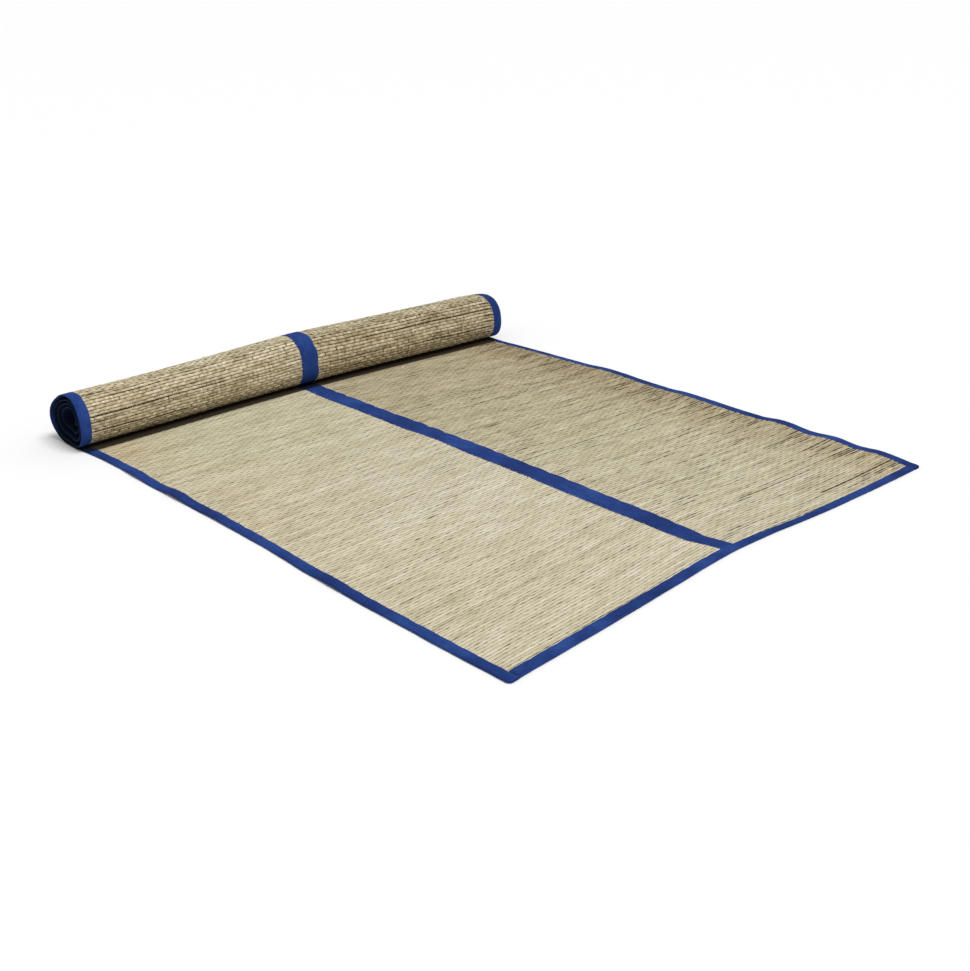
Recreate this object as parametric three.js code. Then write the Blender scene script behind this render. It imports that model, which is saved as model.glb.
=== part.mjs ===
// A woven straw beach mat, partly unrolled: a flat stretch with the far end
// wound into a loose roll that lies on it. Millimetres, +Z up, X across the
// mat, +Y along it towards the roll.
//
// The mat is two straw panels side by side, joined by a tape down the middle
// on both faces, and bound with a folded tape on both long edges and both
// ends. Every piece is a section carried along one shared sheet surface,
// sheetPoint(s, x, h): s runs along the mat from its front edge, x across it,
// and h stands off the middle of its thickness.
import * as THREE from 'three';

// ---- driving dimensions -------------------------------------------------
const MAT_LENGTH = 1800;      // front edge to inner end, along the sheet
const FLAT_LENGTH = 980;      // the stretch that lies flat
const THICK = 3.0;            // straw, and a folded tape over its pressed edge
const TONGUE = 1.0;           // straw pressed thin under the tapes
const GAP = 0.3;              // clearance between pieces
const END_WIDTH = 14;         // how far an end binding reaches in from its end
const WEB = 1.5;              // seam between the panels under the centre tape
const STEPS_PER_TURN = 15;    // sections in one turn of the roll
const FLAT_STEP = 61;         // spacing of sections on the flat stretch
const LIFT_REACH = 70;        // how far a ripple reaches in from the edge

// Worked out from those.
const HALF = THICK / 2;
const SLOT = TONGUE / 2 + GAP;              // half height of the slot in a tape
const FOLD = THICK / 2 - SLOT + 0.5;        // cloth at the fold of a binding
const TUCK = FOLD + GAP;                    // where the straw starts inside it
const SHOULDER = END_WIDTH + GAP;           // where the straw is full again past an end
const RAMP = 1.5;                           // slope up to full at the ends
const SIDE_RAMP = 0.4;                      // and beside the long tapes

// Roll: distance from its axis to the middle of the sheet, a row for each
// turn from the outside in, a column for each direction from the axis. The
// winding starts at "down" and goes up the back first.
const ROLL_AXIS = { y: -10, z: 45 };
const TURNS = [
  { down: 43.5, backLow: 50.0, back: 51.0, backHigh: 39.5, top: 39.0, frontHigh: 44.5, front: 46.0, frontLow: 49.0 },
  { down: 37.5, backLow: 42.5, back: 44.5, backHigh: 32.5, top: 30.5, frontHigh: 36.0, front: 37.5, frontLow: 39.5 },
  { down: 28.0, backLow: 33.0, back: 35.0, backHigh: 25.5, top: 24.5, frontHigh: 29.5, front: 29.0, frontLow: 27.5 },
  { down: 16.0, backLow: 20.0, back: 24.0, backHigh: 18.5, top: 18.5, frontHigh: 22.0, front: 21.5, frontLow: 17.0 },
];

// The roll bows back and swells where the centre tape thickens it.
const ROLL_ALONG = [
  { x: -450, size: 1.002, back: 0 },
  { x: -300, size: 1.000, back: 5 },
  { x: -150, size: 1.023, back: 12 },
  { x: 0, size: 1.066, back: 15 },
  { x: 150, size: 1.047, back: 11 },
  { x: 300, size: 1.042, back: 4 },
  { x: 400, size: 1.036, back: 0 },
  { x: 440, size: 0.992, back: -2 },
];

// Front edge: a shallow notch at the centre tape, the left corner furthest out.
const FRONT_EDGE = [
  { x: -450, y: -1007.0 },
  { x: -300, y: -994.5 },
  { x: -150, y: -981.0 },
  { x: -20, y: -968.5 },
  { x: 70, y: -968.6 },
  { x: 200, y: -975.7 },
  { x: 330, y: -978.2 },
  { x: 450, y: -977.2 },
];

// Long edges and centre tape, by distance from the front edge, and how far
// each edge binding reaches in.
const EDGES = [
  { s: 0, left: -450.0, right: 441.0, tape: 4.0, tapeWidth: 26, leftWidth: 16.5, rightWidth: 17.0 },
  { s: 40, left: -451.0, right: 445.0, tape: -5.0, tapeWidth: 24, leftWidth: 16.0, rightWidth: 17.0 },
  { s: 70, left: -451.5, right: 446.5, tape: -9.5, tapeWidth: 31, leftWidth: 16.0, rightWidth: 16.5 },
  { s: 150, left: -452.0, right: 447.0, tape: -6.5, tapeWidth: 36, leftWidth: 16.0, rightWidth: 16.5 },
  { s: 240, left: -452.3, right: 447.6, tape: -6.5, tapeWidth: 36, leftWidth: 16.0, rightWidth: 16.5 },
  { s: 310, left: -451.6, right: 447.8, tape: -5.0, tapeWidth: 38, leftWidth: 16.0, rightWidth: 16.5 },
  { s: 375, left: -450.0, right: 447.2, tape: -3.6, tapeWidth: 35, leftWidth: 16.0, rightWidth: 16.5 },
  { s: 440, left: -446.8, right: 447.2, tape: -3.2, tapeWidth: 36, leftWidth: 15.5, rightWidth: 16.5 },
  { s: 500, left: -445.0, right: 448.0, tape: -3.0, tapeWidth: 37, leftWidth: 15.5, rightWidth: 15.0 },
  { s: 580, left: -445.0, right: 448.4, tape: -1.8, tapeWidth: 33, leftWidth: 15.5, rightWidth: 15.0 },
  { s: 660, left: -445.4, right: 448.4, tape: -4.8, tapeWidth: 37, leftWidth: 15.5, rightWidth: 14.5 },
  { s: 745, left: -446.8, right: 443.2, tape: -6.0, tapeWidth: 34, leftWidth: 15.5, rightWidth: 12.5 },
  { s: 860, left: -445.2, right: 437.5, tape: -7.7, tapeWidth: 36, leftWidth: 15.0, rightWidth: 12.5 },
  { s: 925, left: -448.0, right: 432.5, tape: -7.0, tapeWidth: 33, leftWidth: 15.0, rightWidth: 12.5 },
  { s: 965, left: -453.5, right: 434.0, tape: -8.0, tapeWidth: 33, leftWidth: 16.0, rightWidth: 15.0 },
  { s: 1000, left: -453.2, right: 436.0, tape: -9.0, tapeWidth: 33, leftWidth: 17.0, rightWidth: 18.0 },
  { s: 1045, left: -456.5, right: 437.0, tape: -9.0, tapeWidth: 33, leftWidth: 18.0, rightWidth: 19.5 },
  { s: 1090, left: -454.0, right: 437.0, tape: -9.0, tapeWidth: 33, leftWidth: 18.0, rightWidth: 20.0 },
  { s: 1200, left: -454.5, right: 441.0, tape: -9.0, tapeWidth: 34, leftWidth: 18.0, rightWidth: 20.0 },
  { s: 1260, left: -454.5, right: 440.0, tape: -9.0, tapeWidth: 34, leftWidth: 18.0, rightWidth: 20.0 },
  { s: 1380, left: -451.5, right: 439.0, tape: -7.0, tapeWidth: 34, leftWidth: 18.0, rightWidth: 18.0 },
  { s: 1520, left: -452.5, right: 436.0, tape: -6.0, tapeWidth: 34, leftWidth: 18.0, rightWidth: 18.0 },
  { s: 1660, left: -449.0, right: 438.0, tape: -4.0, tapeWidth: 34, leftWidth: 18.0, rightWidth: 18.0 },
  { s: 1800, left: -450.0, right: 440.0, tape: -3.0, tapeWidth: 34, leftWidth: 18.0, rightWidth: 18.0 },
];

// Ripples where an edge binding is drawn up, on the left (-1) or right (+1)
// edge: the crest, how far it reaches before and after it, and its height.
const RIPPLES = [
  { side: 1, s: 72, before: 60, after: 40, height: 2.5 },
  { side: 1, s: 152, before: 40, after: 48, height: 3.1 },
  { side: 1, s: 256, before: 60, after: 50, height: 3.8 },
  { side: 1, s: 455, before: 135, after: 52, height: 2.4 },
  { side: 1, s: 646, before: 110, after: 56, height: 2.3 },
  { side: -1, s: 322, before: 45, after: 45, height: 1.6 },
  { side: -1, s: 590, before: 50, after: 40, height: 1.3 },
  { side: -1, s: 690, before: 40, after: 46, height: 3.2 },
  { side: -1, s: 802, before: 44, after: 40, height: 2.0 },
];

// ---- table lookups ------------------------------------------------------
// Cubic through the rows of a table, flat beyond its ends.
function lookup(rows, key, column, at) {
  const n = rows.length;
  if (at <= rows[0][key]) return rows[0][column];
  if (at >= rows[n - 1][key]) return rows[n - 1][column];
  let i = 0;
  while (rows[i + 1][key] < at) i++;
  const slope = (j) => {
    const a = Math.max(j - 1, 0), b = Math.min(j + 1, n - 1);
    return (rows[b][column] - rows[a][column]) / (rows[b][key] - rows[a][key]);
  };
  const h = rows[i + 1][key] - rows[i][key], t = (at - rows[i][key]) / h;
  const p = rows[i][column], q = rows[i + 1][column];
  return (2 * t ** 3 - 3 * t * t + 1) * p + (t ** 3 - 2 * t * t + t) * h * slope(i)
    + (3 * t * t - 2 * t ** 3) * q + (t ** 3 - t * t) * h * slope(i + 1);
}

// Distance from the roll's axis after turning through `angle` degrees.
const DIRECTIONS = ['down', 'backLow', 'back', 'backHigh', 'top', 'frontHigh', 'front', 'frontLow'];
const SPOKES = TURNS.flatMap((turn) => DIRECTIONS.map((d) => turn[d]));
function rollRadius(angle) {
  const at = (i) => SPOKES[i < 0 ? -i : Math.min(i, SPOKES.length - 1)];
  const u = angle / 45, i = Math.floor(u), t = u - i;
  const [a, b, c, d] = [at(i - 1), at(i), at(i + 1), at(i + 2)];
  return 0.5 * (2 * b + (c - a) * t + (2 * a - 5 * b + 4 * c - d) * t * t + (3 * b - a - 3 * c + d) * t ** 3);
}
function rollPoint(angle) {
  const a = THREE.MathUtils.degToRad(angle), r = rollRadius(angle);
  return new THREE.Vector2(ROLL_AXIS.y + r * Math.sin(a), ROLL_AXIS.z - r * Math.cos(a));
}

// Length along the winding, in half-degree steps, to find the angle where the
// sheet runs out.
const WINDING = [{ angle: 0, length: 0 }];
while (WINDING.at(-1).length < MAT_LENGTH - FLAT_LENGTH) {
  const last = WINDING.at(-1);
  const step = rollPoint(last.angle + 0.5).distanceTo(rollPoint(last.angle));
  WINDING.push({ angle: last.angle + 0.5, length: last.length + step });
}
function windingAngle(length) {
  if (length <= 0) return 0;
  let lo = 0, hi = WINDING.length - 1;
  while (hi - lo > 1) {
    const mid = (lo + hi) >> 1;
    if (WINDING[mid].length < length) lo = mid; else hi = mid;
  }
  const a = WINDING[lo], b = WINDING[hi];
  return a.angle + (b.angle - a.angle) * (length - a.length) / (b.length - a.length);
}

// ---- the sheet surface --------------------------------------------------
const leftEdge = (s) => lookup(EDGES, 's', 'left', s);
const rightEdge = (s) => lookup(EDGES, 's', 'right', s);
const tapeCentre = (s) => lookup(EDGES, 's', 'tape', s);
const tapeHalf = (s) => lookup(EDGES, 's', 'tapeWidth', s) / 2;
const bindingWidth = (side, s) => lookup(EDGES, 's', side < 0 ? 'leftWidth' : 'rightWidth', s);

function lift(s, x) {
  let z = 0;
  for (const r of RIPPLES) {
    const along = Math.abs(s - r.s) / (s < r.s ? r.before : r.after);
    if (along >= 1) continue;
    const edge = r.side < 0 ? leftEdge(s) : rightEdge(s);
    const level = bindingWidth(r.side, s) + GAP;
    const inward = THREE.MathUtils.clamp((Math.abs(edge - x) - level) / (LIFT_REACH - level), 0, 1);
    z += r.height * (1 - inward) * (0.5 + 0.5 * Math.cos(Math.PI * along));
  }
  return z;
}

function sheetPoint(s, x, h) {
  const size = lookup(ROLL_ALONG, 'x', 'size', x);
  const back = lookup(ROLL_ALONG, 'x', 'back', x);
  if (s <= FLAT_LENGTH) {
    const front = lookup(FRONT_EDGE, 'x', 'y', x);
    const end = ROLL_AXIS.y * size + back;
    return new THREE.Vector3(x, front + (end - front) * s / FLAT_LENGTH, THICK / 2 + lift(s, x) + h);
  }
  const angle = windingAngle(s - FLAT_LENGTH);
  const p = rollPoint(angle);
  const along = rollPoint(angle + 1).sub(rollPoint(angle - 1)).normalize();
  return new THREE.Vector3(
    x,
    p.x * size + back - along.y * h,
    THICK / 2 + (p.y - THICK / 2) * size + along.x * h,
  );
}

// ---- sections and sweeps ------------------------------------------------
// Distances along the mat at which sections are set, the same for every
// piece so that neighbours keep their clearance: evenly on the flat, by equal
// angles round the roll, and where a tape or a tongue begins at either end.
const STATIONS = (() => {
  const ends = [0, FOLD, TUCK, SHOULDER, SHOULDER + RAMP];
  const fixed = [...ends, ...ends.map((d) => MAT_LENGTH - d)];
  const list = [];
  const flatSteps = Math.round(FLAT_LENGTH / FLAT_STEP);
  for (let i = 1; i <= flatSteps; i++) list.push(i * FLAT_LENGTH / flatSteps);
  for (let a = 360 / STEPS_PER_TURN; a < WINDING.at(-1).angle; a += 360 / STEPS_PER_TURN) {
    list.push(FLAT_LENGTH + WINDING[Math.round(a * 2)].length);
  }
  const clear = list.filter((s) => s < MAT_LENGTH && fixed.every((f) => Math.abs(f - s) > 6));
  return [...fixed, ...clear].sort((a, b) => a - b);
})();
const stations = (from, to) => STATIONS.filter((s) => s > from - 1e-6 && s < to + 1e-6);

// A closed body through a row of sections with equal numbers of corners.
function skin(rings) {
  const n = rings[0].length, position = rings.flat().flatMap((v) => [v.x, v.y, v.z]);
  const index = [];
  for (let r = 0; r + 1 < rings.length; r++) {
    for (let i = 0; i < n; i++) {
      const j = (i + 1) % n, a = r * n + i, b = r * n + j, c = a + n, d = b + n;
      index.push(a, b, d, a, d, c);
    }
  }
  return { position, index, n, last: (rings.length - 1) * n };
}
// `ladder` closes the ends rung by rung, for a wide section whose end isn't flat.
function closed({ position, index, n, last }, outline, ladder = false) {
  const turn = Math.sign(THREE.ShapeUtils.area(outline));
  const rungs = () => Array.from({ length: n / 2 - 1 }, (_, i) => i)
    .flatMap((i) => [[i, i + 1, n - 2 - i], [i, n - 2 - i, n - 1 - i]]);
  for (const [a, i, j] of ladder ? rungs() : THREE.ShapeUtils.triangulateShape(outline, [])) {
    const same = Math.sign(THREE.ShapeUtils.area([outline[a], outline[i], outline[j]])) === turn;
    const [b, c] = same ? [i, j] : [j, i];
    index.push(c, b, a);
    index.push(last + a, last + b, last + c);
  }
  const geometry = new THREE.BufferGeometry();
  geometry.setAttribute('position', new THREE.Float32BufferAttribute(position, 3));
  geometry.setIndex(index);
  return facingOut(geometry);
}
function facingOut(geometry) {
  const p = geometry.getAttribute('position'), index = geometry.getIndex();
  const [a, b, c] = [new THREE.Vector3(), new THREE.Vector3(), new THREE.Vector3()];
  let volume = 0;
  for (let i = 0; i < index.count; i += 3) {
    a.fromBufferAttribute(p, index.getX(i));
    b.fromBufferAttribute(p, index.getX(i + 1));
    c.fromBufferAttribute(p, index.getX(i + 2));
    volume += a.dot(b.cross(c));
  }
  if (volume < 0) {
    for (let i = 0; i < index.count; i += 3) {
      const t = index.getX(i + 1);
      index.setX(i + 1, index.getX(i + 2));
      index.setX(i + 2, t);
    }
  }
  return geometry;
}

// Carries a section [[x, h], ...] along the mat.
function sweep(list, section, ladder) {
  const rings = list.map((s) => section(s).map(([x, h]) => sheetPoint(s, x, h)));
  return closed(skin(rings), section(list[0]).map(([x, h]) => new THREE.Vector2(x, h)), ladder);
}
// Carries a section [[s, h], ...] across the mat, through the places that
// places(s) gives.
function sweepAcross(places, section) {
  const rings = places(section[0][0]).map((_, i) => section.map(([s, h]) => sheetPoint(s, places(s)[i], h)));
  return closed(skin(rings), rings[0].map((v) => new THREE.Vector2(v.y, v.z)));
}

// ---- the pieces ---------------------------------------------------------
// Places across one half of the mat, from the edge to the centre seam, shared
// by the straw and the end bindings that cross it.
function columns(side, s) {
  const edge = side < 0 ? leftEdge(s) : rightEdge(s);
  const shoulder = edge - side * (bindingWidth(side, s) + GAP), inner = edge - side * LIFT_REACH;
  const tapeSide = tapeCentre(s) + side * (tapeHalf(s) + GAP);
  return {
    tuck: edge - side * TUCK,
    shoulder,
    shoulderTop: shoulder - side * SIDE_RAMP,
    inner,
    middle: inner + (tapeSide - inner) * 0.55,
    tapeTop: tapeSide + side * SIDE_RAMP,
    tapeSide,
    seam: tapeCentre(s) + side * (WEB / 2 + GAP),
  };
}

// One straw panel between an edge and the centre seam: full thickness between
// the tapes, a thin tongue under each of them and under both end bindings.
function panel(side) {
  return sweep(stations(TUCK, MAT_LENGTH - TUCK), (s) => {
    const c = columns(side, s), thin = TONGUE / 2;
    const full = Math.min(s, MAT_LENGTH - s) < SHOULDER + RAMP - 1e-6 ? thin : HALF;
    const top = [[c.tuck, thin], [c.shoulder, thin], [c.shoulderTop, full], [c.inner, full],
      [c.middle, full], [c.tapeTop, full], [c.tapeSide, thin], [c.seam, thin]];
    return [...top, ...top.map(([x, h]) => [x, -h]).reverse()];
  }, true);
}

// An edge binding: a tape folded over the edge. Its slot runs out in the last
// bit of the tape at both ends, so the corners of the straw are covered.
function edgeBinding(side) {
  const edge = side < 0 ? leftEdge : rightEdge;
  return sweep(stations(0, MAT_LENGTH).filter((s) => Math.abs(Math.min(s, MAT_LENGTH - s) - TUCK) > 0.01), (s) => {
    const at = (d) => edge(s) - side * d, width = bindingWidth(side, s);
    const depth = Math.min(s, MAT_LENGTH - s) < FOLD - 1e-6 ? width - 0.3 : FOLD;
    return [[at(0), HALF], [at(width), HALF], [at(width), SLOT], [at(depth), SLOT],
      [at(depth), -SLOT], [at(width), -SLOT], [at(width), -HALF], [at(0), -HALF]];
  });
}

// An end binding, between the two edge bindings. `into` is +1 from the front
// edge and -1 from the inner end.
function endBinding(from, into) {
  const between = stations(Math.min(from, from + into * END_WIDTH), Math.max(from, from + into * END_WIDTH))
    .map((s) => Math.abs(s - from)).filter((d) => d > FOLD + 0.1 && d < END_WIDTH).sort((a, b) => a - b);
  const out = [0, ...between, END_WIDTH], slot = [FOLD, ...between, END_WIDTH];
  const section = [
    ...out.map((d) => [d, HALF]), ...slot.toReversed().map((d) => [d, SLOT]),
    ...slot.map((d) => [d, -SLOT]), ...out.toReversed().map((d) => [d, -HALF]),
  ].map(([d, h]) => [from + into * d, h]);
  return sweepAcross((s) => {
    const half = (side) => {
      const c = columns(side, s);
      return [c.shoulderTop, c.inner, c.middle, c.tapeTop, c.tapeSide, c.seam];
    };
    return [...half(-1), ...half(1).reverse()];
  }, section);
}

// The centre tape: a strip on each face, sewn through between the panels.
function centreTape() {
  const list = stations(SHOULDER, MAT_LENGTH - SHOULDER);
  return sweep(list, (s) => {
    const x = tapeCentre(s), w = tapeHalf(s), m = WEB / 2;
    return [[x - w, HALF], [x + w, HALF], [x + w, SLOT], [x + m, SLOT], [x + m, -SLOT], [x + w, -SLOT],
      [x + w, -HALF], [x - w, -HALF], [x - w, -SLOT], [x - m, -SLOT], [x - m, SLOT], [x - w, SLOT]];
  });
}

const straw = () => new THREE.MeshStandardMaterial({ color: 0xb9ac86, roughness: 0.72, metalness: 0 });
const tape = () => new THREE.MeshStandardMaterial({ color: 0x27478c, roughness: 0.85, metalness: 0 });
const PIECES = [
  ['straw_panel_left', panel(-1), straw()],
  ['straw_panel_right', panel(1), straw()],
  ['centre_tape', centreTape(), tape()],
  ['binding_left', edgeBinding(-1), tape()],
  ['binding_right', edgeBinding(1), tape()],
  ['binding_front', endBinding(0, 1), tape()],
  ['binding_inner', endBinding(MAT_LENGTH, -1), tape()],
];

// The origin is on the floor, at the middle of the mat's outline.
const box = new THREE.Box3();
for (const [, geometry] of PIECES) {
  geometry.computeBoundingBox();
  box.union(geometry.boundingBox);
}
const mat = new THREE.Group();
for (const [name, geometry, material] of PIECES) {
  geometry.translate(-(box.min.x + box.max.x) / 2, -(box.min.y + box.max.y) / 2, -box.min.z);
  geometry.computeVertexNormals();
  const mesh = new THREE.Mesh(geometry, material);
  mesh.name = name;
  mat.add(mesh);
}

export default mat;
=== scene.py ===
"""A straw beach mat, partly unrolled: its fine surface, looks, light and camera.

Lengths in the tables are millimetres on the mat: s runs along it from the
front edge, x across it, h stands off the middle of its thickness. place()
turns them into metres in the object's frame.
"""
import math

import bpy
import numpy as np
from mathutils import Matrix, Vector


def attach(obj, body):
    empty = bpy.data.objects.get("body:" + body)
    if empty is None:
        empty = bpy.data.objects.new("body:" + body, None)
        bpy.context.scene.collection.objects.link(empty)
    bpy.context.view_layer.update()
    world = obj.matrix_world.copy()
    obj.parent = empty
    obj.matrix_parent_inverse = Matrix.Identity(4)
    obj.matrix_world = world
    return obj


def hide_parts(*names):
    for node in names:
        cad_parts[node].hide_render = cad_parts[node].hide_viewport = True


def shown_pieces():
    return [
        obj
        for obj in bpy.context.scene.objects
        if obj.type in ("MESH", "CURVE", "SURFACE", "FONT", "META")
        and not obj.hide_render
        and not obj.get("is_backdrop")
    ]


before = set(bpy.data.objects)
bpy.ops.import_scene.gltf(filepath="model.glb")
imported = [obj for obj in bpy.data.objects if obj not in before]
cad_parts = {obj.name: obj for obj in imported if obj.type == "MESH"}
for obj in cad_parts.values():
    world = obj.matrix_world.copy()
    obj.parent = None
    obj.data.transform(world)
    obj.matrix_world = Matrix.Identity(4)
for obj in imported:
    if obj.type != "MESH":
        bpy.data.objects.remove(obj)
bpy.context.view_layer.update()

# ---- the mat's sizes ----------------------------------------------------
MAT_LENGTH, FLAT_LENGTH, HALF = 1800.0, 980.0, 1.5
GAP, LIFT_REACH = 0.3, 70.0
ORIGIN = (3.871, 475.125)  # from the roll's axis to the frame's origin
AXIS_Y, AXIS_Z = -10.0, 45.0

# Radius of the sheet's middle in the roll, a row for each turn from the
# outside in: down, back low, back, back high, top, front high, front, front low.
TURNS = [
    (43.5, 50.0, 51.0, 39.5, 39.0, 44.5, 46.0, 49.0),
    (37.5, 42.5, 44.5, 32.5, 30.5, 36.0, 37.5, 39.5),
    (28.0, 33.0, 35.0, 25.5, 24.5, 29.5, 29.0, 27.5),
    (16.0, 20.0, 24.0, 18.5, 18.5, 22.0, 21.5, 17.0),
]
# x, size, back
ROLL_ALONG = [
    (-450, 1.002, 0),
    (-300, 1, 5),
    (-150, 1.023, 12),
    (0, 1.066, 15),
    (150, 1.047, 11),
    (300, 1.042, 4),
    (400, 1.036, 0),
    (440, 0.992, -2),
]
# x, y
FRONT_EDGE = [
    (-450, -1007),
    (-300, -994.5),
    (-150, -981),
    (-20, -968.5),
    (70, -968.6),
    (200, -975.7),
    (330, -978.2),
    (450, -977.2),
]
# s, left edge, right edge, middle of the tape, widths of the tape, the left and the right binding
EDGES = [
    (0, -450, 441, 4, 26, 16.5, 17),
    (40, -451, 445, -5, 24, 16, 17),
    (70, -451.5, 446.5, -9.5, 31, 16, 16.5),
    (150, -452, 447, -6.5, 36, 16, 16.5),
    (240, -452.3, 447.6, -6.5, 36, 16, 16.5),
    (310, -451.6, 447.8, -5, 38, 16, 16.5),
    (375, -450, 447.2, -3.6, 35, 16, 16.5),
    (440, -446.8, 447.2, -3.2, 36, 15.5, 16.5),
    (500, -445, 448, -3, 37, 15.5, 15),
    (580, -445, 448.4, -1.8, 33, 15.5, 15),
    (660, -445.4, 448.4, -4.8, 37, 15.5, 14.5),
    (745, -446.8, 443.2, -6, 34, 15.5, 12.5),
    (860, -445.2, 437.5, -7.7, 36, 15, 12.5),
    (925, -448, 432.5, -7, 33, 15, 12.5),
    (965, -453.5, 434, -8, 33, 16, 15),
    (1000, -453.2, 436, -9, 33, 17, 18),
    (1045, -456.5, 437, -9, 33, 18, 19.5),
    (1090, -454, 437, -9, 33, 18, 20),
    (1200, -454.5, 441, -9, 34, 18, 20),
    (1260, -454.5, 440, -9, 34, 18, 20),
    (1380, -451.5, 439, -7, 34, 18, 18),
    (1520, -452.5, 436, -6, 34, 18, 18),
    (1660, -449, 438, -4, 34, 18, 18),
    (1800, -450, 440, -3, 34, 18, 18),
]
# side, s, reach before and after, height
RIPPLES = [
    (1, 72, 60, 40, 2.5),
    (1, 152, 40, 48, 3.1),
    (1, 256, 60, 50, 3.8),
    (1, 455, 135, 52, 2.4),
    (1, 646, 110, 56, 2.3),
    (-1, 322, 45, 45, 1.6),
    (-1, 590, 50, 40, 1.3),
    (-1, 690, 40, 46, 3.2),
    (-1, 802, 44, 40, 2),
]
# x, how far the front binding reaches in
FRONT_WIDTH = [
    (-450, 17), (-300, 17), (-150, 16.5), (-20, 15), (70, 11.5), (130, 10), (200, 11), (330, 13), (450, 14.5),
]

# ---- the weave ----------------------------------------------------------
PICK = 5.3          # one bundle of stems, along the mat
WARPS = 53          # threads across each panel
WAVE = 0.20         # how far a bundle rises and dips between the threads
ROLL_WAVE = 0.46    # and on the roll, where the turns bend it
BUNDLE = 0.92       # half the thickness of a bundle
THREAD = 0.36       # radius of a warp thread
SEEN = 1300.0       # past this the sheet is inside the roll


class Table:
    """Cubic through the rows of a table, flat beyond its ends."""

    def __init__(self, rows):
        a = np.array(rows, float)
        self.k, self.v = a[:, 0], a[:, 1:]
        n = len(a)
        lo, hi = np.maximum(np.arange(n) - 1, 0), np.minimum(np.arange(n) + 1, n - 1)
        self.m = (self.v[hi] - self.v[lo]) / (self.k[hi] - self.k[lo])[:, None]

    def __call__(self, at, column=0):
        at = np.clip(np.asarray(at, float), self.k[0], self.k[-1])
        i = np.clip(np.searchsorted(self.k, at, side="right") - 1, 0, len(self.k) - 2)
        h = self.k[i + 1] - self.k[i]
        t = (at - self.k[i]) / h
        v, m = self.v[:, column], self.m[:, column]
        return (
            (2 * t**3 - 3 * t**2 + 1) * v[i] + (t**3 - 2 * t**2 + t) * h * m[i]
            + (3 * t**2 - 2 * t**3) * v[i + 1] + (t**3 - t**2) * h * m[i + 1]
        )


along_table, front_table, edge_table = Table(ROLL_ALONG), Table(FRONT_EDGE), Table(EDGES)
front_width_table = Table(FRONT_WIDTH)
SPOKES = np.array(TURNS).ravel()


def roll_radius(angle):
    u = np.asarray(angle, float) / 45
    i = np.floor(u).astype(int)
    t = u - i
    a, b, c, d = (SPOKES[np.clip(np.abs(i + k), 0, len(SPOKES) - 1)] for k in (-1, 0, 1, 2))
    return 0.5 * (2 * b + (c - a) * t + (2 * a - 5 * b + 4 * c - d) * t**2 + (3 * b - a - 3 * c + d) * t**3)


def roll_point(angle):
    a, r = np.radians(angle), roll_radius(angle)
    return AXIS_Y + r * np.sin(a), AXIS_Z - r * np.cos(a)


_turned = np.arange(0, 1500, 0.5)
_y, _z = roll_point(_turned)
_wound = np.concatenate([[0], np.cumsum(np.hypot(np.diff(_y), np.diff(_z)))])


def winding_angle(length):
    return np.interp(length, _wound, _turned)


def left_edge(s):
    return edge_table(s, 0)


def right_edge(s):
    return edge_table(s, 1)


def tape_middle(s):
    return edge_table(s, 2)


def tape_half(s):
    return edge_table(s, 3) / 2


def binding_width(side, s):
    return edge_table(s, 4 if side < 0 else 5)


def front_width(x):
    return front_width_table(x)


def lift(s, x):
    z = np.zeros(np.broadcast(s, x).shape)
    for side, at, before, after, height in RIPPLES:
        near = np.clip(np.abs(s - at) / np.where(s < at, before, after), 0, 1)
        edge = left_edge(s) if side < 0 else right_edge(s)
        level = binding_width(side, s) + GAP
        inward = np.clip((np.abs(edge - x) - level) / (LIFT_REACH - level), 0, 1)
        z = z + height * (1 - inward) * (0.5 + 0.5 * np.cos(math.pi * near))
    return z


def place(s, x, h):
    """Points on the sheet, in metres in the object's frame."""
    s, x, h = np.broadcast_arrays(np.asarray(s, float), np.asarray(x, float), np.asarray(h, float))
    size, back = along_table(x, 0), along_table(x, 1)
    front, end = front_table(x), AXIS_Y * along_table(x, 0) + back
    flat_y = front + (end - front) * s / FLAT_LENGTH
    flat_z = HALF + lift(s, x) + h
    angle = winding_angle(np.maximum(s - FLAT_LENGTH, 0))
    py, pz = roll_point(angle)
    ay, az = roll_point(angle - 1)
    by, bz = roll_point(angle + 1)
    ty, tz = by - ay, bz - az
    n = np.hypot(ty, tz)
    ty, tz = ty / n, tz / n
    roll_y = py * size + back - tz * h
    roll_z = HALF + (pz - HALF) * size + ty * h
    rolled = s > FLAT_LENGTH
    y = np.where(rolled, roll_y, flat_y)
    z = np.where(rolled, roll_z, flat_z)
    return np.stack([x + ORIGIN[0], y + ORIGIN[1], z], -1) / 1000


def step(value, low, high):
    t = np.clip((value - low) / (high - low), 0, 1)
    return t * t * (3 - 2 * t)


def ripple_noise(rng, rows, at, waves):
    """Smooth seeded noise: a row of it for each of `rows`, sampled at `at`."""
    out = np.zeros((rows, at.shape[-1]))
    for length, height in waves:
        phase = rng.uniform(0, 2 * math.pi, (rows, 1))
        reach = length * rng.uniform(0.75, 1.3, (rows, 1))
        out += height * np.sin(2 * math.pi * at / reach + phase)
    return out


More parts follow.
